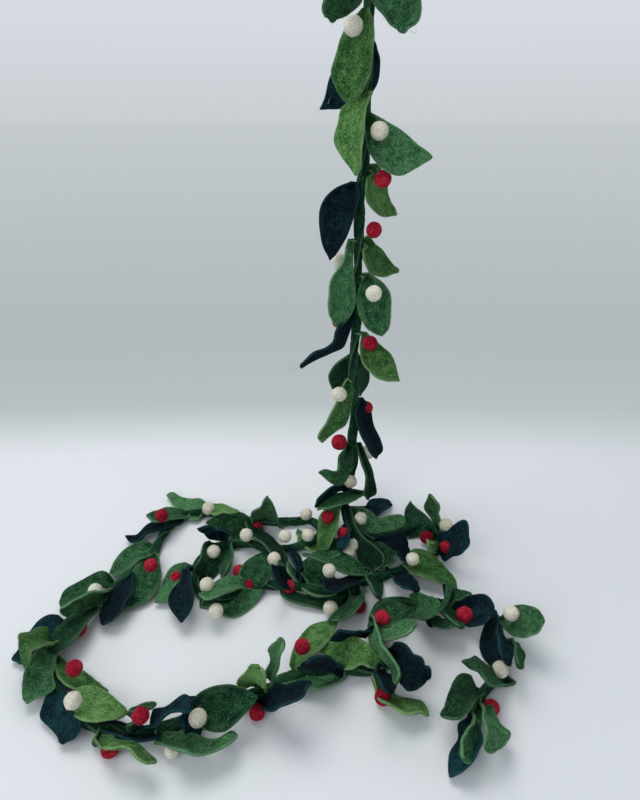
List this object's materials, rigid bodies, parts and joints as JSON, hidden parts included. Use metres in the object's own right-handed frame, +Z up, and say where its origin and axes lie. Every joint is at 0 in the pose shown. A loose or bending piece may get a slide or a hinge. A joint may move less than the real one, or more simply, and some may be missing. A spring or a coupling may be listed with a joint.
{
  "type": "felt holly garland",
  "caption": "Hanging felt garland: a rolled felt cord with pinched pointed leaves and felt-ball berries, its lower length lying in loops.",
  "frame": {"origin": "top of the inside of the hanging loop, where a nail or hook carries it", "axes": "+Z up along the hanging length, +X to the viewer's right, -Y towards the viewer"},
  "size_m": [0.3589, 0.2964, 0.4736],
  "materials": {
    "light_felt": "matt wool felt, soft fuzzy nap",
    "mid_felt": "matt wool felt, soft fuzzy nap",
    "dark_felt": "matt wool felt, soft fuzzy nap",
    "navy_felt": "matt wool felt, soft fuzzy nap",
    "red_felt": "matt wool felt, soft fuzzy nap",
    "cream_felt": "matt wool felt, soft fuzzy nap",
    "cord_felt": "matt wool felt, soft fuzzy nap"
  },
  "bodies": {
    "root": {"cord": "cord_felt", "hang_loop": "cord_felt", "leaf_h02": "mid_felt", "leaf_h03": "light_felt", "leaf_h04": "navy_felt", "leaf_h05": "light_felt", "leaf_h06": "mid_felt", "leaf_h07": "light_felt", "leaf_h08": "navy_felt", "leaf_h10": "light_felt", "leaf_h12": "mid_felt", "leaf_h13": "mid_felt", "leaf_h14": "navy_felt", "leaf_h16": "light_felt", "leaf_h19": "light_felt", "leaf_h24": "mid_felt", "leaf_p08": "mid_felt", "leaf_r02": "mid_felt", "leaf_r05": "navy_felt", "leaf_r01": "light_felt", "leaf_p20": "light_felt", "leaf_l13": "mid_felt", "leaf_l17": "navy_felt", "leaf_l16": "light_felt", "leaf_l07": "mid_felt", "leaf_l05": "mid_felt", "leaf_l01": "mid_felt", "leaf_b01": "mid_felt", "leaf_b03": "mid_felt", "leaf_b04": "navy_felt", "leaf_b10": "mid_felt", "leaf_b12": "navy_felt", "leaf_b11b": "light_felt", "leaf_b15": "dark_felt", "leaf_r15": "light_felt", "leaf_r12": "light_felt", "leaf_r17": "light_felt", "leaf_r11": "light_felt", "leaf_r16a": "navy_felt", "leaf_r07": "mid_felt", "leaf_s04": "navy_felt", "leaf_s03": "mid_felt", "leaf_s06": "light_felt", "leaf_s07": "mid_felt", "leaf_s09": "light_felt", "leaf_s11": "navy_felt", "berry_hc2": "cream_felt", "berry_hr4": "red_felt", "berry_hc6": "cream_felt", "berry_hr8": "red_felt", "berry_hc9": "cream_felt", "berry_rc16": "cream_felt", "berry_lc11": "cream_felt", "berry_br9": "red_felt", "berry_br11": "red_felt", "berry_bc19": "cream_felt", "berry_bc20": "cream_felt", "berry_rr15": "red_felt", "berry_sr21": "red_felt", "berry_sc24": "cream_felt"}
  },
  "joints": []
}
